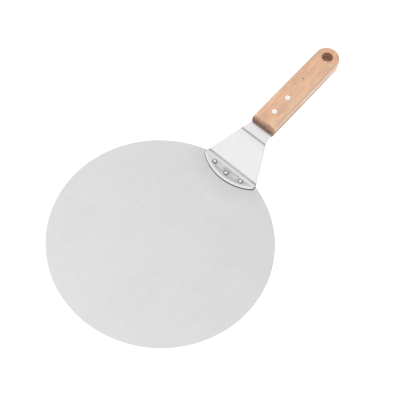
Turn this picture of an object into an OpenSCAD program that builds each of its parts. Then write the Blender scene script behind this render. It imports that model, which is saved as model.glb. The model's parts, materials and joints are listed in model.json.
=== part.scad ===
// Round pizza peel: a flat steel blade, a cranked sheet bracket and a riveted wooden handle.
// Millimetres. The origin is the centre of the blade's underside, +X runs from the blade to the
// handle, +Z is up off the table, and the part is symmetric across Y.

/* [Blade] */

// Diameter of the round blade
blade_d = 254; // [200:1:320]
// Thickness of the blade sheet
blade_t = 1; // [0.8:0.1:1.6]

/* [Bracket] */

// Thickness of the bracket sheet
sheet_t = 1.5; // [1:0.1:2]
// How far inside the blade's rim the lower bend lies
rim_inset = 5.1; // [4:0.1:8]
// Length of the flange from the lower bend to the crown of its curved edge
flange_l = 19.5; // [18:0.5:24]
// Width of the flange and of the web at the lower bend
flange_w = 73; // [68:0.5:80]
// Radius of the flange's curved edge
flange_r = 57.6; // [54:0.2:80]
// Radius of the flange's two corners
corner_r = 4; // [2:0.5:5]
// Horizontal run of the sloping web between the two bends
web_run = 34.3; // [28:0.1:44]
// Width of the bracket at the upper bend
web_top_w = 35.6; // [33:0.2:42]
// Height of the upper bend, at the middle of the sheet
rise = 30.9; // [24:0.1:38]
// Inside radius of both bends
bend_r = 1.5; // [1:0.1:2.5]
// Width of the tang that runs into the handle
tang_w = 28.4; // [24:0.2:29.6]
// Length of the tang inside the wood
tang_in = 57; // [55:1:62]

/* [Handle] */

// Upward pitch of the handle in degrees
pitch = 5.6; // [0:0.1:10]
// Length of bare neck between the upper bend and the wood
neck_l = 14.4; // [12:0.2:18]
// Length of the handle from its front end to its round tip
handle_l = 140.8; // [130:0.2:170]
// Width of the handle
handle_w = 30.4; // [30:0.2:36]
// Thickness of the handle
handle_t = 18; // [16:0.5:22]
// Radius along the handle's long edges
edge_r = 3; // [1.5:0.5:4]
// Radius that rolls the front end into the top and bottom faces
nose_r = 6.5; // [4.5:0.5:7]
// Radius of the front end's two corners, seen from above
nose_corner_r = 2; // [2:0.5:6]
// Radius of the hanging hole at the round end
hang_r = 6.5; // [5:0.25:8]
// Chamfer around both mouths of the hanging hole
hang_chamfer = 0.6; // [0.3:0.1:1]

/* [Blade rivets] */

// Diameter of the domed heads
dome_d = 5.7; // [5:0.1:6.5]
// Height of the domed heads
dome_h = 1.7; // [1:0.1:2.2]
// Distance of the two side rivets from the centre line
dome_y = 19.7; // [14:0.1:22]
// Distance of the side rivets from the lower bend
dome_side_back = 8; // [7:0.1:9]
// Distance of the middle rivet from the lower bend
dome_mid_back = 10.8; // [8:0.1:12]

/* [Handle rivets] */

// Diameter of the flush heads
pin_head_d = 6.6; // [6:0.1:8]
// Distance of the first rivet from the handle's front end
pin_first = 23.1; // [20:0.1:26]
// Spacing of the two rivets
pin_pitch = 25.2; // [20:0.1:26]

/* [Hidden] */

$fn = 96;

// Running gap left around shanks, heads and tang
gap = 0.05;
// Extra length on cutting shapes
over = 1;

// Shank of a blade rivet, and the countersink that leaves its tail flush with the underside
shank_r = 1.6;
sink_r = 2.6;
sink_h = 0.7;
dome_r = (dome_d * dome_d / 4 + dome_h * dome_h) / (2 * dome_h);

// Two-part handle rivet: socket tube from above, pin from below
pin_head_t = 1.2;
tube_r = 2.3;
pin_r = 1.5;
pin_step = 3;
pin_tip_z = 4;
dimple_r = 0.9;
dimple_h = 0.35;

// Where the two bends lie along X, and the height of the flange's mid-plane
low_x = blade_d / 2 - rim_inset;
high_x = low_x + web_run;
mid_z = blade_t + sheet_t / 2;
flange_top = blade_t + sheet_t;
slope = atan2(rise - mid_z, web_run);

// Steps in one bend, its radius at the middle of the sheet, and the length it takes off its flats
bend_steps = 14;
bend_mid = bend_r + sheet_t / 2;
low_cut = bend_mid * tan(slope / 2);
high_cut = bend_mid * tan((slope - pitch) / 2);

// Plan of the flange: the centre of its curved edge and of its corner arcs
flange_cx = low_x - flange_l + flange_r;
corner_y = flange_w / 2 - corner_r;
corner_x = flange_cx - sqrt((flange_r - corner_r) * (flange_r - corner_r) - corner_y * corner_y);

// The neck's sides are concave arcs that end tangent to the tang
waist_l = 20;
waist_step = (web_top_w - tang_w) / 2;
waist_r = (waist_l * waist_l + waist_step * waist_step) / (2 * waist_step);
tang_end = neck_l + tang_in;

// The round end of the handle and its hanging hole share one centre
tip_c = neck_l + handle_l - handle_w / 2;
strip_w = 100;

// Children drawn in the handle's own axes: X along it, Z square to its top face
module in_handle() {
    translate([high_x, 0, rise])
        rotate([0, -pitch, 0])
            children();
}

module blade_rivet_at(side) {
    x = side == 0 ? low_x - dome_mid_back : low_x - dome_side_back;
    translate([x, side * dome_y, 0])
        children();
}

module handle_rivet_at(index) {
    in_handle()
        translate([neck_l + pin_first + index * pin_pitch, 0, 0])
            children();
}

// Hole through blade and flange for one rivet, countersunk from below
module blade_rivet_hole() {
    translate([0, 0, -over])
        cylinder(r = shank_r + gap, h = flange_top + 2 * over);
    cylinder(r1 = sink_r + gap, r2 = shank_r + gap, h = sink_h);
    translate([0, 0, -over])
        cylinder(r = sink_r + gap, h = over);
}

module blade_rivet_holes() {
    for (side = [-1, 0, 1])
        blade_rivet_at(side)
            blade_rivet_hole();
}

module blade() {
    color([0.84, 0.84, 0.85])
        difference() {
            cylinder(d = blade_d, h = blade_t, $fn = 240);
            blade_rivet_holes();
        }
}

// Points of one side of a bend, stepping round (cx, cz) from angle a0 to a1
function arc(cx, cz, r, a0, a1) =
    [for (i = [0:bend_steps])
        let (a = a0 + (a1 - a0) * i / bend_steps)
        [cx + r * cos(a), cz + r * sin(a)]];

// The whole bent strip, seen from the side and drawn across the full width
module bent_strip() {
    outer_r = bend_r + sheet_t;
    start_x = low_x - flange_l - over;
    low_cx = low_x - low_cut;
    low_cz = mid_z + bend_mid;
    high_cx = high_x - high_cut * cos(slope) + bend_mid * sin(slope);
    high_cz = rise - high_cut * sin(slope) - bend_mid * cos(slope);
    end_x = high_x + tang_end * cos(pitch);
    end_z = rise + tang_end * sin(pitch);
    half_x = sheet_t / 2 * sin(pitch);
    half_z = sheet_t / 2 * cos(pitch);
    rotate([90, 0, 0])
        linear_extrude(height = strip_w, center = true)
            polygon(concat(
                [[start_x, flange_top]],
                arc(low_cx, low_cz, bend_r, -90, slope - 90),
                arc(high_cx, high_cz, outer_r, slope + 90, pitch + 90),
                [[end_x - half_x, end_z + half_z], [end_x + half_x, end_z - half_z]],
                arc(high_cx, high_cz, bend_r, pitch + 90, slope + 90),
                arc(low_cx, low_cz, outer_r, slope - 90, -90),
                [[start_x, blade_t]]));
}

// Plan of the flange: a shallow curved edge, two rounded corners and short straight sides
module flange_plan() {
    intersection() {
        translate([flange_cx, 0])
            circle(r = flange_r, $fn = 180);
        polygon([[flange_cx, 0],
                 [flange_cx - 2 * (flange_cx - corner_x), 2 * corner_y],
                 [flange_cx - 2 * (flange_cx - corner_x), -2 * corner_y]]);
    }
    for (side = [-1, 1])
        translate([corner_x, side * corner_y])
            circle(r = corner_r);
    translate([corner_x, -flange_w / 2])
        square([low_x - corner_x, flange_w]);
}

// Plan of the web, the waisted neck and the tang
module web_and_tang_plan() {
    polygon([[low_x, -flange_w / 2], [low_x, flange_w / 2],
             [high_x, web_top_w / 2], [high_x, -web_top_w / 2]]);
    difference() {
        translate([high_x, -web_top_w / 2])
            square([waist_l, web_top_w]);
        for (side = [-1, 1])
            translate([high_x + waist_l, side * (tang_w / 2 + waist_r)])
                circle(r = waist_r, $fn = 180);
    }
    translate([high_x + waist_l, -tang_w / 2])
        square([tang_end + handle_t, tang_w]);
}

module bracket() {
    color([0.9, 0.9, 0.91])
        difference() {
            intersection() {
                bent_strip();
                union() {
                    linear_extrude(height = rise + strip_w)
                        flange_plan();
                    linear_extrude(height = rise + strip_w)
                        web_and_tang_plan();
                }
            }
            blade_rivet_holes();
            for (index = [0, 1])
                handle_rivet_at(index)
                    cylinder(r = tube_r + gap, h = handle_t, center = true);
        }
}

// Domed head on the flange, plain shank, countersunk tail flush under the blade
module blade_rivet() {
    color([0.8, 0.8, 0.81])
        rotate_extrude() {
            polygon([[0, 0], [sink_r, 0], [shank_r, sink_h], [shank_r, flange_top], [0, flange_top]]);
            intersection() {
                translate([0, flange_top + dome_h - dome_r])
                    circle(r = dome_r);
                translate([0, flange_top])
                    square([dome_d / 2, dome_h]);
            }
        }
}

// Side view of the grip up to the centre of its round end, with the rolled front
module grip_side() {
    translate([neck_l + nose_r, -handle_t / 2])
        square([tip_c - neck_l - nose_r, handle_t]);
    translate([neck_l, nose_r - handle_t / 2])
        square([nose_r, handle_t - 2 * nose_r]);
    for (side = [-1, 1])
        translate([neck_l + nose_r, side * (handle_t / 2 - nose_r)])
            circle(r = nose_r);
}

// Plan of the same length, with small front corners
module grip_plan() {
    translate([neck_l + nose_corner_r, -handle_w / 2])
        square([tip_c - neck_l - nose_corner_r, handle_w]);
    translate([neck_l, nose_corner_r - handle_w / 2])
        square([nose_corner_r, handle_w - 2 * nose_corner_r]);
    for (side = [-1, 1])
        translate([neck_l + nose_corner_r, side * (handle_w / 2 - nose_corner_r)])
            circle(r = nose_corner_r);
}

// Cross-section with rounded long edges
module grip_section() {
    square([handle_t - 2 * edge_r, handle_w], center = true);
    square([handle_t, handle_w - 2 * edge_r], center = true);
    for (u = [-1, 1], v = [-1, 1])
        translate([u * (handle_t / 2 - edge_r), v * (handle_w / 2 - edge_r)])
            circle(r = edge_r);
}

// The round end is a disc with the same rounded edge, spun about the hanging hole
module grip_end() {
    translate([tip_c, 0, 0])
        rotate_extrude() {
            translate([0, -handle_t / 2])
                square([handle_w / 2 - edge_r, handle_t]);
            translate([0, edge_r - handle_t / 2])
                square([handle_w / 2, handle_t - 2 * edge_r]);
            for (side = [-1, 1])
                translate([handle_w / 2 - edge_r, side * (handle_t / 2 - edge_r)])
                    circle(r = edge_r);
        }
}

module grip_blank() {
    intersection() {
        rotate([90, 0, 0])
            linear_extrude(height = handle_w + over, center = true)
                grip_side();
        linear_extrude(height = handle_t + over, center = true)
            grip_plan();
        rotate([0, 90, 0])
            linear_extrude(height = tip_c)
                grip_section();
    }
    grip_end();
}

module hanging_hole() {
    translate([tip_c, 0, 0]) {
        cylinder(r = hang_r, h = handle_t + 2 * over, center = true);
        for (side = [0, 1])
            mirror([0, 0, side])
                translate([0, 0, handle_t / 2 - hang_chamfer])
                    cylinder(r1 = hang_r, r2 = hang_r + hang_chamfer + over, h = hang_chamfer + over);
    }
}

// Saw kerf for the tang, open at the front and at both sides
module tang_kerf() {
    translate([neck_l - over, -handle_w, -sheet_t / 2 - gap])
        cube([tang_in + over + gap, 2 * handle_w, sheet_t + 2 * gap]);
}

// Stepped hole for one handle rivet
module handle_rivet_hole() {
    cylinder(r = tube_r + gap, h = handle_t + over, center = true);
    for (side = [0, 1])
        mirror([0, 0, side])
            translate([0, 0, handle_t / 2 - pin_head_t])
                cylinder(r = pin_head_d / 2 + gap, h = pin_head_t + over);
}

module handle() {
    color([0.86, 0.7, 0.56])
        difference() {
            in_handle()
                grip_blank();
            in_handle()
                tang_kerf();
            in_handle()
                hanging_hole();
            for (index = [0, 1])
                handle_rivet_at(index)
                    handle_rivet_hole();
        }
}

// Upper half of a handle rivet: flush dimpled head and a tube down through wood and tang
module rivet_socket() {
    top = handle_t / 2;
    floor_z = pin_step - top + pin_head_t;
    color([0.93, 0.93, 0.94])
        rotate_extrude()
            polygon([[0, top - dimple_h], [dimple_r, top], [pin_head_d / 2, top],
                     [pin_head_d / 2, top - pin_head_t], [tube_r, top - pin_head_t],
                     [tube_r, floor_z], [pin_r, floor_z], [pin_r, pin_tip_z], [0, pin_tip_z]]);
}

// Lower half: flush head, shoulder and the pin that is pressed up the tube
module rivet_pin() {
    top = handle_t / 2;
    floor_z = pin_step - top + pin_head_t;
    color([0.93, 0.93, 0.94])
        rotate_extrude()
            polygon([[0, -top], [pin_head_d / 2, -top], [pin_head_d / 2, pin_head_t - top],
                     [tube_r, pin_head_t - top], [tube_r, floor_z], [pin_r, floor_z],
                     [pin_r, pin_tip_z], [0, pin_tip_z]]);
}

blade();
bracket();
blade_rivet_at(1) blade_rivet();  // blade_rivet_left
blade_rivet_at(0) blade_rivet();  // blade_rivet_middle
blade_rivet_at(-1) blade_rivet();  // blade_rivet_right
handle();
handle_rivet_at(0) rivet_socket();  // front_rivet_socket
handle_rivet_at(0) rivet_pin();  // front_rivet_pin
handle_rivet_at(1) rivet_socket();  // rear_rivet_socket
handle_rivet_at(1) rivet_pin();  // rear_rivet_pin
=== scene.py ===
import json
import math

import bmesh
import bpy
from mathutils import Matrix, Vector


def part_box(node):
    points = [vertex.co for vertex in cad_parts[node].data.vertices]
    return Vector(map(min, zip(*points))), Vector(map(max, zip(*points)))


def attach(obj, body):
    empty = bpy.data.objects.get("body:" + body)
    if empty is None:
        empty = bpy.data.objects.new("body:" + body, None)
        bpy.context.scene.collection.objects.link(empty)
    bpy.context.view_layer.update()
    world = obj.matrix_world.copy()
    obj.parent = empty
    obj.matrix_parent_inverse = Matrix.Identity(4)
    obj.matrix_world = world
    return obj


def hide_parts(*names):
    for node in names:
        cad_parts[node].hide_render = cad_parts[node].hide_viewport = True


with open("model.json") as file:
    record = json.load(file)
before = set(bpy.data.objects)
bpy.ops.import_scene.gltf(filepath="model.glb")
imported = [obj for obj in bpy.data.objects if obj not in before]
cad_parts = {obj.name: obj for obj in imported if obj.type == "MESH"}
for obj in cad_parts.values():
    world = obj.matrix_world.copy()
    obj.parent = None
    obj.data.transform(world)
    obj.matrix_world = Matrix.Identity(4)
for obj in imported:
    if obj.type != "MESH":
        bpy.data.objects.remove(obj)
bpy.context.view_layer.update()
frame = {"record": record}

scene = bpy.context.scene
MM = 0.001


# ---------------------------------------------------------------- sizes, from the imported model

mounts = {m["name"]: m for m in frame["record"]["mounts"]}
hole_mount = mounts["hanging_hole"]
hole_pos = Vector(hole_mount["pos_m"])
hole_axis = Vector(hole_mount["axis"]).normalized()
hole_r = hole_mount["dims"]["r_mm"] * MM
pitch = math.atan2(-hole_axis.x, hole_axis.z)

blade_lo, blade_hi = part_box("blade")
blade_r, blade_t = -blade_lo.x, blade_hi.z
bracket_lo, bracket_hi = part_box("bracket")
_handle_lo, handle_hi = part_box("handle")

BLADE_RIVETS = {}
for rivet in ("blade_rivet_left", "blade_rivet_middle", "blade_rivet_right"):
    lo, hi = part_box(rivet)
    BLADE_RIVETS[rivet] = ((lo.x + hi.x) / 2, (lo.y + hi.y) / 2)

# Radius of the blade's rounded rim
RIM_R = 0.28 * MM

# Bracket sheet: flange on the blade, web, neck, and tang inside the handle. TANG_END is measured
# along the sheet from the upper bend
SHEET_T = 1.5 * MM
BEND_R = 1.5 * MM
SHEET_EDGE_IN = 0.7 * MM
SHEET_EDGE_DOWN = 0.35 * MM
FLANGE_L = 19.5 * MM
FLANGE_R = 57.6 * MM
FLANGE_CORNER = 4.0 * MM
WEB_RUN = 34.3 * MM
WEB_TOP_W2 = 17.8 * MM
RISE = 30.9 * MM
WAIST_L = 20.0 * MM
TANG_W2 = 14.2 * MM
TANG_END = 71.4 * MM

# Blade rivets: domed head, straight shank, countersunk tail
DOME_R = 2.85 * MM
DOME_H = 1.7 * MM
SHANK_R = 1.6 * MM
SINK_R = 2.6 * MM
SINK_H = 0.7 * MM

# Handle, in its own axes: X along it from the hanging hole, Z square to its top face
GRIP_W2 = handle_hi.y
GRIP_T2 = 9.0 * MM
GRIP_FRONT = -125.6 * MM
EDGE_R = 3.0 * MM
NOSE_R = 6.5 * MM
CORNER_R = 2.0 * MM
CROWN = 0.5 * MM
KERF_IN = 57.05 * MM
KERF_T2 = 0.8 * MM
HOLE_EDGE_R = 0.8 * MM
KNOT_X, KNOT_Y = -44.1 * MM, 2.9 * MM

# Handle rivets: a socket pressed in from above and a pin from below, both with the same head
PIN_X = [GRIP_FRONT + 23.1 * MM, GRIP_FRONT + 48.3 * MM]
PIN_HEAD_R = 3.3 * MM
PIN_HEAD_T = 1.2 * MM
PIN_HEAD_EDGE = 0.18 * MM
TUBE_R = 2.3 * MM
PIN_R = 1.5 * MM
PIN_TIP = 4.0 * MM
TUBE_END = PIN_HEAD_T + 3.0 * MM - GRIP_T2

# Clearance cut round every rivet, and how far a cutter reaches past what it cuts
GAP = 0.05 * MM
PAST = 1.0 * MM

crown_x = bracket_lo.x
low_x = crown_x + FLANGE_L
high_x = low_x + WEB_RUN
flange_w2 = bracket_hi.y
flange_top = blade_t + SHEET_T
mid_z = blade_t + SHEET_T / 2

HANDLE = Matrix.Translation(hole_pos) @ Matrix.Rotation(-pitch, 4, "Y")


# ---------------------------------------------------------------- mesh helpers

def make(name, verts, faces):
    me = bpy.data.meshes.new(name)
    me.from_pydata([tuple(v) for v in verts], [], faces)
    me.validate()
    ob = bpy.data.objects.new(name, me)
    scene.collection.objects.link(ob)
    return ob


def outward(ob):
    """Turns every face to look outward."""
    bm = bmesh.new()
    bm.from_mesh(ob.data)
    bmesh.ops.recalc_face_normals(bm, faces=bm.faces)
    bm.to_mesh(ob.data)
    bm.free()


def lathe(name, profile, steps=64):
    """Spins (radius, height) pairs about Z. A radius of 0 at either end closes the surface."""
    verts, rings = [], []
    for r, z in profile:
        if r < 1e-9:
            rings.append([len(verts)] * steps)
            verts.append((0, 0, z))
        else:
            rings.append([len(verts) + i for i in range(steps)])
            turns = [2 * math.pi * i / steps for i in range(steps)]
            verts += [(r * math.cos(a), r * math.sin(a), z) for a in turns]
    faces = []
    for a, b in zip(rings, rings[1:]):
        for i in range(steps):
            j = (i + 1) % steps
            quad = [a[i], a[j], b[j], b[i]]
            quad = [v for k, v in enumerate(quad) if v not in quad[:k]]
            if len(quad) > 2:
                faces.append(quad)
    ob = make(name, verts, faces)
    outward(ob)
    return ob


def between(rows, count):
    """Faces that join closed rows of count points, each row to the next."""
    return [(k * count + i, k * count + j, (k + 1) * count + j, (k + 1) * count + i)
            for k in range(rows - 1) for i, j in ((i, (i + 1) % count) for i in range(count))]


def arc(cx, cz, r, a0, a1, steps):
    """Points from angle a0 to a1, in degrees."""
    turns = [math.radians(a0 + (a1 - a0) * i / steps) for i in range(steps + 1)]
    return [(cx + r * math.cos(a), cz + r * math.sin(a)) for a in turns]


def mirrored(profile):
    """The same (radius, height) pairs below Z = 0, in reverse."""
    return [(r, -z) for r, z in reversed(profile)]


def subtract(ob, cutters):
    """Cuts with exact booleans, applies them, and merges the doubled points they leave."""
    for c in cutters:
        mod = ob.modifiers.new("cut", "BOOLEAN")
        mod.operation = "DIFFERENCE"
        mod.solver = "EXACT"
        mod.object = c
    bpy.context.view_layer.update()
    me = bpy.data.meshes.new_from_object(ob.evaluated_get(bpy.context.evaluated_depsgraph_get()))
    bm = bmesh.new()
    bm.from_mesh(me)
    bmesh.ops.remove_doubles(bm, verts=bm.verts, dist=0.002 * MM)
    bmesh.ops.dissolve_degenerate(bm, edges=bm.edges, dist=0.002 * MM)
    bm.to_mesh(me)
    bm.free()
    ob.modifiers.clear()
    old, ob.data = ob.data, me
    bpy.data.meshes.remove(old)
    for c in cutters:
        bpy.data.objects.remove(c)


def place(ob, matrix, node, materials, sharp=35):
    """Shades a finished mesh, moves it into the frame, hangs it under the root body and hides the CAD node it
    stands for.
    """
    for p in ob.data.polygons:
        p.use_smooth = True
    ob.data.set_sharp_from_angle(angle=math.radians(sharp))
    normals = ob.modifiers.new("normals", "WEIGHTED_NORMAL")
    normals.keep_sharp = True
    normals.weight = 80
    ob.data.transform(matrix)
    for m in materials:
        ob.data.materials.append(m)
    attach(ob, "root")
    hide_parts(node)


# ---------------------------------------------------------------- node helpers

class Nodes:
    """Short spelling for building a node tree."""

    def __init__(self, tree, coord):
        self.tree = tree
        self.coord = self.add("ShaderNodeTexCoord").outputs[coord]

    def add(self, kind, inputs=None, **props):
        n = self.tree.nodes.new(kind)
        for k, v in props.items():
            setattr(n, k, v)
        for k, v in (inputs or {}).items():
            self.link(v, n.inputs[k])
        return n

    def link(self, value, socket):
        if isinstance(value, bpy.types.NodeSocket):
            self.tree.links.new(value, socket)
        else:
            socket.default_value = value

    def math(self, op, a, b=0.0, c=0.0):
        return self.add("ShaderNodeMath", {0: a, 1: b, 2: c}, operation=op).outputs[0]

    def times(self, a, b):
        return self.math("MULTIPLY", a, b)

    def plus(self, a, b):
        return self.math("ADD", a, b)

    def less(self, a, b):
        return self.math("SUBTRACT", a, b)

    def size(self, a):
        return self.math("ABSOLUTE", a)

    def vector(self, op, a, b=None):
        inputs = {0: a} if b is None else {0: a, 1: b}
        return self.add("ShaderNodeVectorMath", inputs, operation=op)

    def scaled(self, scale, offset=(0, 0, 0), turn=(0, 0, 0)):
        return self.add("ShaderNodeMapping", {"Vector": self.coord, "Scale": scale, "Location": offset,
                                              "Rotation": turn}).outputs[0]

    def noise(self, scale, offset=(0, 0, 0), turn=(0, 0, 0), detail=2, rough=0.5, distort=0.0):
        """Noise with scale features a metre along each axis."""
        return self.add("ShaderNodeTexNoise", {"Vector": self.scaled(scale, offset, turn), "Scale": 1.0,
                                               "Detail": detail, "Roughness": rough,
                                               "Distortion": distort}).outputs[0]

    def ramp(self, value, lo, hi, a=0.0, b=1.0, smooth=True):
        """Runs from a to b while value runs from lo to hi, and stays level outside them."""
        return self.add("ShaderNodeMapRange", {"Value": value, "From Min": lo, "From Max": hi,
                                               "To Min": a, "To Max": b},
                        interpolation_type="SMOOTHSTEP" if smooth else "LINEAR").outputs[0]

    def spread(self, noise, a, b):
        """Carries the middle of a noise's range evenly to a..b."""
        return self.ramp(noise, 0.3, 0.7, a, b, smooth=False)

    def mix(self, factor, a, b):
        n = self.add("ShaderNodeMix", {"Factor": factor}, data_type="RGBA")
        for value, socket in ((a, n.inputs[6]), (b, n.inputs[7])):
            self.link(value if isinstance(value, bpy.types.NodeSocket) else (*value, 1), socket)
        return n.outputs[2]

    def bump(self, height, distance, strength, after=None):
        n = self.add("ShaderNodeBump", {"Height": height, "Distance": distance, "Strength": strength})
        if after is not None:
            self.link(after, n.inputs["Normal"])
        return n.outputs[0]

    def xyz(self):
        return self.add("ShaderNodeSeparateXYZ", {0: self.coord}).outputs

    def from_point(self, cx, cy):
        """Plan distance from a point."""
        x, y, _z = self.xyz()
        dx, dy = self.less(x, cx), self.less(y, cy)
        return self.math("SQRT", self.plus(self.times(dx, dx), self.times(dy, dy)))


class Material(Nodes):
    """A material on the Principled shader. On the handle, its axes are the handle's own."""

    def __init__(self, name, on_handle=False):
        self.mat = bpy.data.materials.new(name)
        self.mat.use_nodes = True
        super().__init__(self.mat.node_tree, "Object")
        self.bsdf = self.tree.nodes["Principled BSDF"]
        if on_handle:
            axes = {"Vector": self.coord, "Location": hole_pos, "Rotation": (0, -pitch, 0)}
            self.coord = self.add("ShaderNodeMapping", axes, vector_type="TEXTURE").outputs[0]

    def finish(self, colour, rough, normal=None, metallic=0.0):
        self.link(colour, self.bsdf.inputs["Base Color"])
        self.link(rough, self.bsdf.inputs["Roughness"])
        if normal is not None:
            self.link(normal, self.bsdf.inputs["Normal"])
        self.bsdf.inputs["Metallic"].default_value = metallic
        return self.mat


# ---------------------------------------------------------------- steel

def steel(name, tone, rough, streak, painted_shading):
    """Satin sheet steel: fine brushing along X, faint handling smudges and hairline scratches."""
    n = Material(name)
    brush = n.noise((22, 1500, 1500), detail=4, rough=0.65)
    broad = n.noise((5, 110, 110))
    smudge = n.noise((20, 20, 20), detail=3, distort=0.6)
    mottle = n.noise((120, 120, 120), detail=3)
    scratch = n.noise((60, 2600, 2600), turn=(0, 0, 0.9), detail=1)
    hair = n.times(n.ramp(scratch, 0.70, 0.76), n.ramp(smudge, 0.50, 0.62))
    level = n.plus(n.spread(brush, -streak, streak), n.spread(broad, -streak, streak))
    level = n.plus(level, n.spread(smudge, -0.018, 0.018))
    level = n.plus(level, n.spread(mottle, 0.988, 1.012))
    # Painted shade and highlight from the given functions darken or lighten the tone
    for shade_paint in painted_shading:
        level = n.times(level, shade_paint(n))
    grey = n.add("ShaderNodeVectorMath", {0: tone, "Scale": level}, operation="SCALE").outputs[0]
    r = n.plus(rough, n.spread(brush, -0.05, 0.05))
    r = n.plus(r, n.ramp(smudge, 0.35, 0.7, -0.04, 0.05, smooth=False))
    r = n.plus(r, n.times(hair, -0.015))
    normal = n.bump(brush, 0.01 * MM, 0.3)
    normal = n.bump(hair, 0.01 * MM, 0.04, normal)
    return n.finish(grey, r, normal, metallic=1.0)


def bend_shade(n):
    """Painted shade along both bends where the sheet curves, deepest at the ends of the lower one."""
    x, y, _z = n.xyz()
    ends = n.ramp(n.size(y), flange_w2 - 16 * MM, flange_w2 - MM, 0.66, 1.05)
    x = n.plus(x, n.spread(n.noise((60, 120, 60), detail=3), -0.08 * MM, 0.08 * MM))
    unevenness = n.ramp(n.noise((300, 180, 300), (0, 6, 0), detail=3), 0.35, 0.65, 0.84, 1.12, smooth=False)
    out = 1.0
    for at, depth in ((low_x + 0.5 * MM, ends), (high_x - 0.3 * MM, 0.90)):
        d = n.size(n.less(x, at))
        core = n.times(n.times(n.ramp(d, 0.3 * MM, 1.3 * MM, 0.44, 0.0), unevenness), depth)
        flank = n.ramp(d, 0.7 * MM, 2.0 * MM, 0.80, 1.0)
        out = n.times(out, n.times(n.less(1.0, core), flank))
    # Painted shade in a band on the web below the upper bend, and painted light brightening the neck beyond
    # it
    below_top_bend = n.size(n.less(x, high_x - 3.5 * MM))
    out = n.times(out, n.ramp(below_top_bend, 0.5 * MM, 4.0 * MM, 0.95, 1.0))
    return n.times(out, n.ramp(x, high_x, high_x + 3.0 * MM, 1.0, 1.05))


def flange_shade_and_highlight(n):
    """Painted shade on the flange round its rivets, less towards +Y and left off along its bend, and a
    painted highlight along its curved edge.
    """
    x, y, _z = n.xyz()
    inside = n.less(FLANGE_R, n.from_point(crown_x + FLANGE_R, 0))
    patch = n.noise((150, 110, 150), (7, 2, 0), detail=3, distort=0.8)
    off_bend = n.ramp(x, low_x - 5.6 * MM, low_x - 3.0 * MM, 1.0, 0.0)
    rivet_shade = n.times(n.ramp(inside, 2.0 * MM, 5.2 * MM), off_bend)
    rivet_shade = n.times(rivet_shade, n.ramp(patch, 0.34, 0.62, 0.14, 0.38))
    rivet_shade = n.times(rivet_shade, n.ramp(y, 12 * MM, 26 * MM, 1.0, 0.30))
    # Painted highlight along the flange's curved edge
    rim = n.times(n.ramp(inside, 1.2 * MM, 2.2 * MM, 1.0, 0.0), n.ramp(x, low_x - 2.0 * MM, low_x, 0.10, 0.0))
    return n.plus(n.less(1.0, rivet_shade), rim)


def rivet_head_shade(n):
    """Painted shade in a dark, slightly broken ring on the sheet round each blade rivet's head."""
    gap = n.noise((500, 500, 500), (1, 4, 2), detail=1)
    out = 1.0
    for cx, cy in BLADE_RIVETS.values():
        ring = n.ramp(n.from_point(cx, cy), DOME_R + 0.05 * MM, DOME_R + 0.8 * MM, 1.0, 0.0)
        ring = n.times(ring, n.ramp(gap, 0.40, 0.58, 0.35, 0.85))
        out = n.times(out, n.less(1.0, ring))
    return out


def flange_edge_shadow(n):
    """Painted shadow on the blade: a dark line in the crevice along the flange's curved edge, weaker towards
    +Y, with a faint halo of painted shade.
    """
    outside = n.less(n.from_point(crown_x + FLANGE_R, 0), FLANGE_R)
    _x, y, z = n.xyz()
    on_top = n.ramp(z, blade_t - 0.3 * MM, blade_t - 0.1 * MM)
    beside = n.times(n.ramp(n.size(y), flange_w2 + 0.2 * MM, flange_w2 + 1.6 * MM, 1.0, 0.0), on_top)
    line = n.times(n.ramp(outside, 0.2 * MM, 1.1 * MM, 0.80, 0.0), beside)
    line = n.times(line, n.ramp(y, 0.0, 34 * MM, 1.0, 0.55))
    near = n.times(n.ramp(n.size(y), flange_w2 - 5 * MM, flange_w2 + 30 * MM, 1.0, 0.0), on_top)
    # Faint halo of painted shade on the blade beside the flange
    halo = n.times(n.ramp(outside, 0.5 * MM, 30 * MM, 0.08, 0.0), near)
    return n.less(n.less(1.0, line), halo)


def cut_edge_steel(name):
    """The bracket's sheared edge, dark and grainy: partly the sheared steel's own rougher finish, partly
    painted shade for the shadow along the flange's edge.
    """
    n = Material(name)
    grain = n.noise((400, 400, 400), detail=3)
    colour = n.mix(grain, (0.093, 0.093, 0.098), (0.105, 0.105, 0.110))
    return n.finish(colour, n.spread(grain, 0.40, 0.51), n.bump(grain, 0.02 * MM, 0.2), metallic=1.0)


def head_steel(name):
    """Burnished rivet heads: bright crown, with painted shade darkening round the foot of each dome."""
    n = Material(name)
    z = n.xyz()[2]
    grain = n.noise((700, 700, 700), detail=3)
    gap = n.noise((420, 420, 420), (2, 2, 0), detail=1)
    # Painted shade round the foot of each dome, broken up by noise
    foot = n.ramp(z, flange_top + 0.52 * DOME_H, flange_top + 0.93 * DOME_H, 1.0, 0.0)
    foot = n.times(foot, n.ramp(gap, 0.38, 0.60, 0.50, 0.97))
    colour = n.mix(grain, (0.86, 0.86, 0.87), (0.95, 0.95, 0.96))
    colour = n.mix(foot, colour, (0.10, 0.10, 0.105))
    r = n.plus(n.spread(grain, 0.12, 0.20), n.times(foot, 0.2))
    return n.finish(colour, r, n.bump(grain, 0.02 * MM, 0.12), metallic=1.0)


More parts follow.
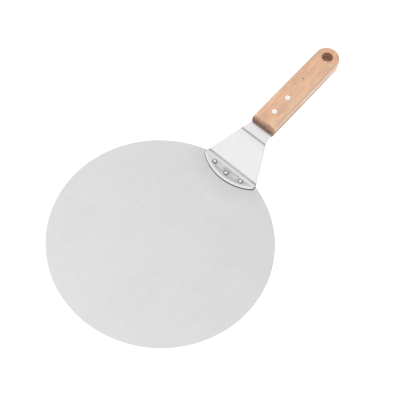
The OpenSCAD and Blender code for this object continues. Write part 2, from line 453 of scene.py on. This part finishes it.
def pin_faces(name):
    """Soft near-white aluminium, turned on its end faces, with a warm, darker tint in the dimple."""
    n = Material(name, on_handle=True)
    grain = n.noise((500, 500, 500), detail=3)
    at = n.math("MINIMUM", *[n.from_point(px, 0) for px in PIN_X])
    turned = n.math("SINE", n.times(at, 2 * math.pi / (0.28 * MM)))
    colour = n.mix(grain, (0.95, 0.93, 0.92), (1.0, 0.98, 0.97))
    colour = n.mix(n.ramp(turned, -0.5, 1.0, 0.0, 0.10), colour, (0.80, 0.79, 0.79))
    colour = n.mix(n.ramp(at, 0.4 * MM, 1.2 * MM, 0.62, 0.0), colour, (0.84, 0.58, 0.53))
    colour = n.mix(n.ramp(at, PIN_HEAD_R - 0.4 * MM, PIN_HEAD_R, 0.0, 0.25), colour, (0.45, 0.40, 0.38))
    return n.finish(colour, n.spread(grain, 0.42, 0.55), n.bump(turned, 0.006 * MM, 0.4), metallic=0.55)


# ---------------------------------------------------------------- wood

# Colours of the wood, in linear light
WOOD = {
    "pale": (0.84, 0.545, 0.35),
    "tan": (0.71, 0.425, 0.285),
    "aged": (0.64, 0.38, 0.25),
    "orange": (0.84, 0.45, 0.28),
    "straw": (0.78, 0.56, 0.34),
    "late_growth": (0.56, 0.32, 0.20),
    "long_fibre": (0.62, 0.37, 0.24),
    "fibre": (0.60, 0.35, 0.22),
    "fleck": (0.42, 0.22, 0.13),
    "side": (0.70, 0.54, 0.43),
    "dark_edge": (0.42, 0.32, 0.27),
    "low_wall_shade": (0.25, 0.18, 0.145),
    "knot_halo": (0.68, 0.40, 0.235),
    "knot": (0.20, 0.10, 0.05),
    "end": (0.54, 0.31, 0.20),
    "end_deep": (0.180, 0.098, 0.062),
    "end_line": (0.120, 0.062, 0.038),
    "end_pore": (0.10, 0.06, 0.04),
    "tail_end": (0.30, 0.19, 0.14),
    "hole_mouth": (0.080, 0.040, 0.033),
    "hole_wall": (0.25, 0.155, 0.13),
    "hole_middle": (0.115, 0.048, 0.029),
    "hole_rim": (0.68, 0.34, 0.20),
    "rivet_rim": (0.34, 0.20, 0.13),
}


def from_knot(n):
    """Distance from the knot on the top face, drawn out along the grain."""
    d = n.vector("SUBTRACT", n.coord, (KNOT_X, KNOT_Y, GRIP_T2)).outputs[0]
    d = n.vector("MULTIPLY", d, (0.55, 1.0, 1.0)).outputs[0]
    return n.vector("LENGTH", d).outputs["Value"]


def growth_layers(n, wander, knot):
    """How much late growth shows: straight lines on the sides, contours on the top and bottom."""
    _x, y, z = n.xyz()
    layer = n.plus(n.times(z, 5200.0), n.times(wander, 30.0))
    layer = n.plus(layer, n.times(y, 160.0))
    layer = n.plus(layer, n.ramp(knot, 0.0, 12 * MM, 7.0, 0.0))
    rings = n.times(n.plus(n.math("SINE", layer), 1.0), 0.5)
    on_side = n.ramp(n.size(z), GRIP_T2 - 1.8 * MM, GRIP_T2 - 0.3 * MM, 1.0, 0.0)
    return n.times(n.ramp(rings, 0.55, 1.0), n.math("MULTIPLY_ADD", on_side, 0.26, 0.26))


def ray_flecks(n):
    """The short dark dashes that beech shows all over its faces."""
    cells = n.add("ShaderNodeTexVoronoi", {"Vector": n.scaled((230, 1050, 1050)), "Scale": 1.0}, feature="F1")
    here = n.noise((260, 420, 420), (5, 5, 5), detail=1)
    return n.times(n.ramp(cells.outputs["Distance"], 0.10, 0.28, 1.0, 0.0), n.ramp(here, 0.48, 0.60))


def long_grain(n, layers, flecks, fibre, long_fibre):
    """Colour of the faces that run along the grain."""
    x = n.xyz()[0]
    blotch = n.noise((34, 80, 80), (3, 1.7, 2), detail=3, distort=0.7)
    warm = n.noise((46, 120, 90), (8, 3, 1), distort=0.5)
    col = n.mix(n.ramp(blotch, 0.34, 0.66), WOOD["pale"], WOOD["tan"])
    col = n.mix(n.ramp(x, GRIP_FRONT + 20 * MM, 0.0, 0.0, 0.30), col, WOOD["aged"])
    col = n.mix(n.ramp(warm, 0.50, 0.70, 0.0, 0.55), col, WOOD["orange"])
    col = n.mix(n.ramp(warm, 0.30, 0.46, 0.45, 0.0), col, WOOD["straw"])
    col = n.mix(layers, col, WOOD["late_growth"])
    col = n.mix(n.ramp(long_fibre, 0.44, 0.70, 0.0, 0.24), col, WOOD["long_fibre"])
    col = n.mix(n.ramp(fibre, 0.50, 0.74, 0.0, 0.24), col, WOOD["fibre"])
    return n.mix(n.times(flecks, 0.52), col, WOOD["fleck"])


def side_walls_and_shade(n, col):
    """Side walls a little greyer, long edges darker and greyer in patches, and painted shade on the lower
    part of the walls.
    """
    x, y, z = n.xyz()
    behind = n.math("MAXIMUM", x, 0.0)
    reach = n.math("SQRT", n.plus(n.times(behind, behind), n.times(y, y)))
    off_nose = n.ramp(x, GRIP_FRONT + 6 * MM, GRIP_FRONT + 10 * MM)
    wall = n.times(n.ramp(reach, GRIP_W2 - 1.2 * MM, GRIP_W2 - 0.1 * MM), off_nose)
    edge = n.times(n.ramp(reach, GRIP_W2 - 2.6 * MM, GRIP_W2 - 0.6 * MM), off_nose)
    edge = n.times(edge, n.ramp(n.size(z), GRIP_T2 - EDGE_R - 0.8 * MM, GRIP_T2 - 2.4 * MM))
    edge_patches = n.ramp(n.noise((60, 200, 200), (4, 4, 4), detail=3), 0.32, 0.66, 0.34, 0.66)
    # Painted shade darkening the lower part of the side walls, weaker towards the rear
    low_wall_shade = n.times(wall, n.ramp(z, -2.8 * MM, -0.4 * MM, 0.80, 0.0))
    low_wall_shade = n.times(low_wall_shade, n.ramp(x, -30 * MM, 4 * MM, 1.0, 0.45))
    col = n.mix(n.times(wall, 0.45), col, WOOD["side"])
    col = n.mix(n.times(edge, edge_patches), col, WOOD["dark_edge"])
    return n.mix(low_wall_shade, col, WOOD["low_wall_shade"])


def end_grain(n, col, wander):
    """Dark layered end grain on the rolled front, its darkest band by the steel partly the end grain's own
    colour and partly painted shade; fainter lines and pores round the other end.
    """
    x, _y, z = n.xyz()
    lines = n.math("SINE", n.plus(n.times(z, 7400.0), n.times(wander, 16.0)))
    pores = n.noise((300, 1500, 1500))

    # Distance from the front, which the rolled nose carries back towards its top and bottom
    rolled = n.times(n.less(n.size(z), KERF_T2), 0.46)
    back = n.plus(n.less(x, GRIP_FRONT), rolled)
    back = n.plus(back, n.spread(n.noise((160, 170, 300), detail=3), -1.6 * MM, 1.6 * MM))
    # Darkest near the front face: partly the end grain's colour, partly painted shade
    end = n.mix(n.ramp(back, 1.8 * MM, 7.2 * MM), WOOD["end_deep"], WOOD["end"])
    end = n.mix(n.ramp(lines, -0.1, 0.8, 0.0, 0.60), end, WOOD["end_line"])
    end = n.mix(n.ramp(pores, 0.55, 0.70, 0.0, 0.45), end, WOOD["end_pore"])
    col = n.mix(n.ramp(back, 6.6 * MM, 10.4 * MM, 0.97, 0.0), col, end)

    tail = n.ramp(n.from_point(0, 0), GRIP_W2 - 2.2 * MM, GRIP_W2 - 0.4 * MM)
    tail = n.times(tail, n.ramp(x, 3 * MM, 13 * MM))
    shade = n.ramp(n.noise((150, 150, 260), detail=3), 0.36, 0.66, 0.10, 0.42)
    shade = n.plus(n.times(n.ramp(lines, -0.2, 0.9), 0.34), shade)
    shade = n.plus(shade, n.ramp(pores, 0.55, 0.72, 0.0, 0.22))
    return n.mix(n.times(tail, shade), col, WOOD["tail_end"])


def hole_wall(n, col, wander, in_hole):
    """The hanging hole, drilled from both faces: darker near each face and at mid-depth, partly scorched wood
    and partly painted shade inside the hole.
    """
    z = n.xyz()[2]
    depth = n.size(n.plus(z, n.spread(wander, -0.4 * MM, 0.4 * MM)))
    wall = n.mix(n.ramp(depth, 1.0 * MM, 2.2 * MM), WOOD["hole_mouth"], WOOD["hole_wall"])
    wall = n.mix(n.ramp(depth, 4.0 * MM, 6.2 * MM), wall, WOOD["hole_middle"])
    col = n.mix(n.times(in_hole, 0.95), col, wall)
    rim = n.ramp(n.from_point(0, 0), hole_r + 0.6 * MM, hole_r + 6.0 * MM, 0.36, 0.0)
    return n.mix(rim, col, WOOD["hole_rim"])


def wood(name):
    """Pale beech, flat sawn: growth layers stacked through the thickness and running along X."""
    n = Material(name, on_handle=True)
    knot = from_knot(n)
    wander = n.noise((16, 46, 46), distort=0.4)
    fibre = n.noise((70, 1500, 1500), detail=4, rough=0.6)
    long_fibre = n.noise((18, 380, 380), detail=3)
    flecks = ray_flecks(n)
    in_hole = n.ramp(n.from_point(0, 0), hole_r + 0.1 * MM, hole_r + 0.45 * MM, 1.0, 0.0)

    col = long_grain(n, growth_layers(n, wander, knot), flecks, fibre, long_fibre)
    col = side_walls_and_shade(n, col)
    col = n.mix(n.ramp(knot, 1.0 * MM, 8.5 * MM, 0.42, 0.0), col, WOOD["knot_halo"])
    col = n.mix(n.ramp(knot, 0.45 * MM, 1.05 * MM, 0.90, 0.0), col, WOOD["knot"])
    col = end_grain(n, col, wander)
    col = hole_wall(n, col, wander, in_hole)
    for px in PIN_X:
        rim = n.ramp(n.from_point(px, 0), PIN_HEAD_R + 0.1 * MM, PIN_HEAD_R + 0.9 * MM, 0.45, 0.0)
        col = n.mix(rim, col, WOOD["rivet_rim"])

    rough = n.plus(n.spread(fibre, 0.44, 0.58), n.times(in_hole, 0.2))
    normal = n.bump(fibre, 0.06 * MM, 0.35)
    normal = n.bump(long_fibre, 0.1 * MM, 0.22, normal)
    normal = n.bump(flecks, -0.05 * MM, 0.4, normal)
    return n.finish(col, rough, normal)


# ---------------------------------------------------------------- blade and bracket

def rivet_cutters():
    """Countersunk holes through blade and flange, at the three blade rivets."""
    out = []
    profile = [(0, -PAST), (SINK_R + GAP, -PAST), (SINK_R + GAP, 0), (SHANK_R + GAP, SINK_H),
               (SHANK_R + GAP, flange_top + PAST), (0, flange_top + PAST)]
    for cx, cy in BLADE_RIVETS.values():
        cutter = lathe("cutter", profile, 48)
        cutter.location = (cx, cy, 0)
        out.append(cutter)
    return out


def build_blade(materials):
    rings = [blade_r * k for k in (0.2, 0.4, 0.6, 0.8, 0.93)]
    rim_x = blade_r - RIM_R
    profile = [(0, blade_t)] + [(r, blade_t) for r in rings] + arc(rim_x, blade_t - RIM_R, RIM_R, 90, 0, 4)
    profile += arc(rim_x, RIM_R, RIM_R, 0, -90, 4) + [(r, 0) for r in reversed(rings)] + [(0, 0)]
    ob = lathe("blade_disc", profile, 192)
    subtract(ob, rivet_cutters())
    place(ob, Matrix.Identity(4), "blade", materials)


def sheet_path():
    """Runs of the bracket's middle line from the flange's crown, straight or on one arc.

    Each is (length before it, its length, start x, start z, start angle, turn).
    """
    slope = math.atan2(RISE - mid_z, WEB_RUN)
    mid_r = BEND_R + SHEET_T / 2
    low_cut, high_cut = mid_r * math.tan(slope / 2), mid_r * math.tan((slope - pitch) / 2)
    web = math.hypot(RISE - mid_z, WEB_RUN) - low_cut - high_cut
    runs = [(FLANGE_L - low_cut, 0.0), (mid_r * slope, slope), (web, 0.0),
            (mid_r * (slope - pitch), pitch - slope), (TANG_END - high_cut, 0.0)]
    out, x, z, a, s = [], crown_x, mid_z, 0.0, 0.0
    for length, turn in runs:
        out.append((s, length, x, z, a, turn))
        x, z, a = along_run(out[-1], length)
        s += length
    return out


def along_run(run, d):
    """Position and heading at distance d along one run of the middle line."""
    _s, length, x, z, a, turn = run
    if not turn:
        return x + d * math.cos(a), z + d * math.sin(a), a
    r = length / turn
    b = a + turn * d / length
    return x + r * (math.sin(b) - math.sin(a)), z - r * (math.cos(b) - math.cos(a)), b


PATH = sheet_path()


def on_path(s):
    """Position and heading on the middle line at length s."""
    run = next((p for p in PATH if s <= p[0] + p[1] + 1e-12), PATH[-1])
    return along_run(run, s - run[0])


def half_width(x):
    """Half the bracket's width at plan position x, from the lower bend on."""
    if x <= low_x:
        return flange_w2
    if x <= high_x:
        return flange_w2 + (WEB_TOP_W2 - flange_w2) * (x - low_x) / WEB_RUN
    step = WEB_TOP_W2 - TANG_W2
    waist_r = (WAIST_L ** 2 + step ** 2) / (2 * step)
    if x < high_x + WAIST_L:
        return TANG_W2 + waist_r - math.sqrt(waist_r ** 2 - (high_x + WAIST_L - x) ** 2)
    return TANG_W2


def half_outline():
    """(s, t) points of the flat pattern's left half, from the crown to the tang's end."""
    corner_y = flange_w2 - FLANGE_CORNER
    corner_s = FLANGE_R - math.sqrt((FLANGE_R - FLANGE_CORNER) ** 2 - corner_y ** 2)
    turn = math.degrees(math.atan2(corner_y, FLANGE_R - corner_s))
    pts = arc(FLANGE_R, 0, FLANGE_R, 180, 180 - turn, 40)
    pts += arc(corner_s, corner_y, FLANGE_CORNER, 180 - turn, 90, 8)[1:]

    low_bend, web, high_bend, tang = [run[:2] for run in PATH[1:]]
    stations = [(corner_s + low_bend[0]) / 2]
    for start, length in (low_bend, high_bend):
        stations += [start + length * i / 14 for i in range(14)]
    stations += [web[0] + web[1] * i / 8 for i in range(8)]
    stations += [tang[0] + WAIST_L * i / 14 for i in range(16)]
    stations += [tang[0] + tang[1] * 0.6, tang[0] + tang[1]]
    return pts + [(s, half_width(on_path(s)[0])) for s in sorted(stations)]


def outline_normals(loop):
    """Outward direction at each point of a closed plan outline."""
    out = []
    for i in range(len(loop)):
        (s0, t0), (s1, t1) = loop[i - 1], loop[(i + 1) % len(loop)]
        d = Vector((s1 - s0, t1 - t0)).normalized()
        out.append((-d.y, d.x))
    return out


def build_bracket(sheet, cut_edge):
    """The flat outline carried onto the middle line at each height of its rolled edge."""
    half = half_outline()
    loop = half + [(s, -t) for s, t in reversed(half[1:])]
    count, path_l = len(loop), half[-1][0]

    # (inset, height) of each row of the edge, rolled from the top face to the wall, then mirrored
    flat = SHEET_T / 2 - SHEET_EDGE_DOWN
    levels = [(SHEET_EDGE_IN * (1 - math.sin(a)), flat + SHEET_EDGE_DOWN * math.cos(a))
              for a in (math.radians(22.5 * k) for k in range(5))]
    levels += mirrored(levels)
    verts = []
    for inset, h in levels:
        for (s, t), (ns, nt) in zip(loop, outline_normals(loop)):
            s2 = s - inset * ns
            x, z, a = on_path(min(max(s2, 0), path_l))
            verts.append((x - h * math.sin(a) + min(s2, 0), t - inset * nt, z + h * math.cos(a)))
    faces = between(len(levels), count)
    kinds = [1 if k // count == len(levels) // 2 - 1 else 0 for k in range(len(faces))]
    for base in (0, (len(levels) - 1) * count):
        across = [(base + i, base + i + 1, base + count - i - 1, base + count - i)
                  for i in range(1, len(half) - 1)]
        faces += across + [(base, base + 1, base + count - 1)]
        kinds += [0] * (len(across) + 1)
    ob = make("bracket_sheet", verts, faces)
    for p, k in zip(ob.data.polygons, kinds):
        p.material_index = k
    for m in (sheet, cut_edge):
        ob.data.materials.append(m)
    outward(ob)

    cutters = rivet_cutters()
    for px in PIN_X:
        reach = 2 * SHEET_T
        cutter = lathe("cutter", [(0, -reach), (TUBE_R + GAP, -reach), (TUBE_R + GAP, reach), (0, reach)], 48)
        cutter.matrix_world = HANDLE @ Matrix.Translation((px, 0, 0))
        cutters.append(cutter)
    subtract(ob, cutters)
    place(ob, Matrix.Identity(4), "bracket", [])


def build_blade_rivets(materials):
    dome_r = (DOME_R ** 2 + DOME_H ** 2) / (2 * DOME_H)
    cz = flange_top + DOME_H - dome_r
    foot = math.degrees(math.atan2(flange_top - cz, DOME_R))
    profile = [(0, flange_top + DOME_H)] + arc(0, cz, dome_r, 90, foot + 2, 16)[1:]
    profile += [(DOME_R, flange_top + 0.04 * MM), (DOME_R - 0.03 * MM, flange_top), (SHANK_R, flange_top),
                (SHANK_R, SINK_H), (SINK_R, 0), (0, 0)]
    for node, (cx, cy) in BLADE_RIVETS.items():
        ob = lathe(node + "_head", profile)
        place(ob, Matrix.Translation((cx, cy, 0)), node, materials)


# ---------------------------------------------------------------- handle and its rivets

def grip_outline(front, half, corner):
    """Half of the handle's plan outline at one level, from the middle of the front to the round end."""
    pts = []
    for k in range(13):
        y = (half - corner) * k / 12
        pts.append((front + CROWN * (y / GRIP_W2) ** 4, y))
    corner_x = pts[-1][0] + corner
    for k in range(1, 9):
        a = math.pi / 2 * k / 8
        pts.append((corner_x - corner * math.cos(a), half - corner + corner * math.sin(a)))
    return pts + [(x, y) for x, y in arc(0, 0, half, 90, 0, 36)]


def grip_levels():
    """(height, front setback, side setback) from the flat top down to the straight walls."""
    drops = [EDGE_R * (1 - math.cos(math.pi / 2 * k / 10)) for k in range(11)]
    drops += [EDGE_R + (NOSE_R - EDGE_R) * math.sin(math.pi / 2 * k / 6) for k in range(1, 7)]
    return [(GRIP_T2 - d, setback(NOSE_R, d), setback(EDGE_R, d)) for d in drops]


def setback(r, drop):
    """How far a rolled edge of radius r stands back at a distance drop below the face."""
    return r - math.sqrt(max(r ** 2 - (r - min(drop, r)) ** 2, 0))


def kerf_cutter():
    """The saw slot that takes the tang."""
    corners = [(x, y, z) for x in (GRIP_FRONT - PAST, GRIP_FRONT + KERF_IN)
               for y in (-2 * GRIP_W2, 2 * GRIP_W2) for z in (-KERF_T2, KERF_T2)]
    faces = [(0, 1, 3, 2), (4, 6, 7, 5), (0, 4, 5, 1), (2, 3, 7, 6), (0, 2, 6, 4), (1, 5, 7, 3)]
    ob = make("cutter", corners, faces)
    outward(ob)
    return ob


def hole_cutter():
    """The hanging hole, with its two mouths rounded."""
    mouth, past = hole_r + HOLE_EDGE_R, GRIP_T2 + PAST
    profile = [(0, past), (mouth, past)] + arc(mouth, GRIP_T2 - HOLE_EDGE_R, HOLE_EDGE_R, 90, 180, 6)
    return lathe("cutter", profile + mirrored(profile), 96)


def pin_cutter(px):
    """One rivet's bore, with a counterbore for each head."""
    head, tube, seat = PIN_HEAD_R + GAP, TUBE_R + GAP, GRIP_T2 - PIN_HEAD_T
    profile = [(0, GRIP_T2 + PAST), (head, GRIP_T2 + PAST), (head, seat), (tube, seat)]
    ob = lathe("cutter", profile + mirrored(profile))
    ob.location = (px, 0, 0)
    return ob


def build_handle(materials):
    levels = grip_levels()
    levels += [(-h, front, side) for h, front, side in reversed(levels)]
    verts = []
    for h, front, side in levels:
        half = grip_outline(GRIP_FRONT + front, GRIP_W2 - side, CORNER_R)
        loop = half + [(x, -y) for x, y in reversed(half[1:-1])]
        verts += [(x, y, h) for x, y in loop]
    count = len(loop)
    faces = between(len(levels), count)
    faces += [tuple(range(count)), tuple(range(len(verts) - count, len(verts)))]
    ob = make("grip", verts, faces)
    outward(ob)
    subtract(ob, [kerf_cutter(), hole_cutter()] + [pin_cutter(px) for px in PIN_X])
    place(ob, HANDLE, "handle", materials, sharp=40)


def build_handle_rivets(materials):
    face, seat = GRIP_T2, GRIP_T2 - PIN_HEAD_T
    dimple = [(0, face - 0.35 * MM), (0.45 * MM, face - 0.27 * MM), (0.8 * MM, face - 0.07 * MM), (MM, face)]
    head = arc(PIN_HEAD_R - PIN_HEAD_EDGE, face - PIN_HEAD_EDGE, PIN_HEAD_EDGE, 90, 0, 4)
    head += [(PIN_HEAD_R, seat), (TUBE_R, seat)]
    profiles = {
        "socket": dimple + head + [(TUBE_R, TUBE_END), (PIN_R, TUBE_END), (PIN_R, PIN_TIP), (0, PIN_TIP)],
        "pin": [(0, -face)] + [(r, -z) for r, z in head] + [(TUBE_R, TUBE_END), (PIN_R, TUBE_END),
                                                          (PIN_R, PIN_TIP), (0, PIN_TIP)],
    }
    for which, px in zip(("front", "rear"), PIN_X):
        for part, profile in profiles.items():
            node = which + "_rivet_" + part
            matrix = HANDLE @ Matrix.Translation((px, 0, 0))
            place(lathe(node + "_turned", profile), matrix, node, materials)


# ---------------------------------------------------------------- camera, floor and light

# The photograph's angle and framing, in degrees and metres
CAMERA_ELEVATION, CAMERA_AZIMUTH, CAMERA_ROLL = 61.246, 56.711, -8.871
CAMERA_DISTANCE, CAMERA_OFF_RIGHT, CAMERA_OFF_UP = 0.77751, -0.0426, -0.04046
CAMERA_LENS = 63

# The studio is brighter on one side, and its horizon is as pale as the floor. Each ramp is
# (from, to, brightness at from, brightness at to)
LIGHT_SIDE = (-0.962, 0.272, 0.0)
SKY_RAMP = (-0.90, 0.30, 0.80, 1.10)
LOW_RAMP = (0.06, 0.50, 0.60, 1.0)
HORIZON_RAMP = (0.03, 0.16, 0.80, 0.0)

FLOOR_R, FLOOR_Z = 20.0, -0.1 * MM
FLOOR_GLOW = 0.35


def camera():
    el, az, roll = (math.radians(a) for a in (CAMERA_ELEVATION, CAMERA_AZIMUTH, CAMERA_ROLL))
    turn = Matrix.Rotation(-az, 3, "Z")
    right, up = Vector((1, 0, 0)), Vector((0, math.sin(el), math.cos(el)))
    back = turn @ Vector((0, -math.cos(el), math.sin(el)))
    cam_x = turn @ (math.cos(roll) * right - math.sin(roll) * up)
    cam_y = turn @ (math.sin(roll) * right + math.cos(roll) * up)
    data = bpy.data.cameras.new("camera")
    data.sensor_width, data.lens = 36, CAMERA_LENS
    data.clip_start, data.clip_end = 0.01, 50
    cam = bpy.data.objects.new("camera", data)
    scene.collection.objects.link(cam)
    m = Matrix((cam_x, cam_y, back)).transposed().to_4x4()
    m.translation = CAMERA_DISTANCE * back - CAMERA_OFF_RIGHT * cam_x - CAMERA_OFF_UP * cam_y
    cam.matrix_world = m
    scene.camera = cam


def studio():
    scene.view_settings.view_transform = "Standard"
    world = bpy.data.worlds.new("studio")
    scene.world = world
    world.use_nodes = True
    n = Nodes(world.node_tree, "Generated")
    z = n.xyz()[2]
    sky = n.ramp(n.vector("DOT_PRODUCT", n.coord, LIGHT_SIDE).outputs["Value"], *SKY_RAMP)
    strength = n.math("MULTIPLY_ADD", sky, n.ramp(z, *LOW_RAMP), n.ramp(z, *HORIZON_RAMP))
    background = world.node_tree.nodes["Background"]
    background.inputs["Color"].default_value = (1, 1, 1, 1)
    n.link(strength, background.inputs["Strength"])


def floor():
    corners = [(x * FLOOR_R, y * FLOOR_R, FLOOR_Z) for x, y in ((-1, -1), (1, -1), (1, 1), (-1, 1))]
    ob = make("floor", corners, [(0, 1, 2, 3)])
    n = Material("floor")
    ob.data.materials.append(n.finish(n.mix(n.noise((40, 40, 40)), (0.90,) * 3, (0.92,) * 3), 0.8))
    n.bsdf.inputs["Emission Color"].default_value = (1, 1, 1, 1)
    n.bsdf.inputs["Emission Strength"].default_value = FLOOR_GLOW


def key_light(place_at, target, size, watts):
    """A soft disk of light, left out of reflections so that it doesn't glare on the blade."""
    data = bpy.data.lights.new("key", "AREA")
    data.shape = "DISK"
    data.size = size
    data.energy = watts
    ob = bpy.data.objects.new("key", data)
    scene.collection.objects.link(ob)
    ob.location = place_at
    ob.visible_glossy = False
    ob.rotation_mode = "QUATERNION"
    ob.rotation_quaternion = (Vector(target) - Vector(place_at)).to_track_quat("-Z", "Y")


# ---------------------------------------------------------------- the scene

blade_steel = steel("blade_steel", (0.745, 0.745, 0.745), 0.34, 0.010, [flange_edge_shadow])
bracket_painted_shading = [bend_shade, flange_shade_and_highlight, rivet_head_shade]
bracket_steel = steel("bracket_steel", (0.79, 0.79, 0.795), 0.30, 0.012, bracket_painted_shading)

build_blade([blade_steel])
build_bracket(bracket_steel, cut_edge_steel("cut_edge"))
build_blade_rivets([head_steel("rivet_steel")])
build_handle([wood("beech")])
build_handle_rivets([pin_faces("pin_metal")])

camera()
studio()
floor()
key_light((-0.2, -1.4, 1.1), (0.15, 0, 0), 0.9, 2.5)
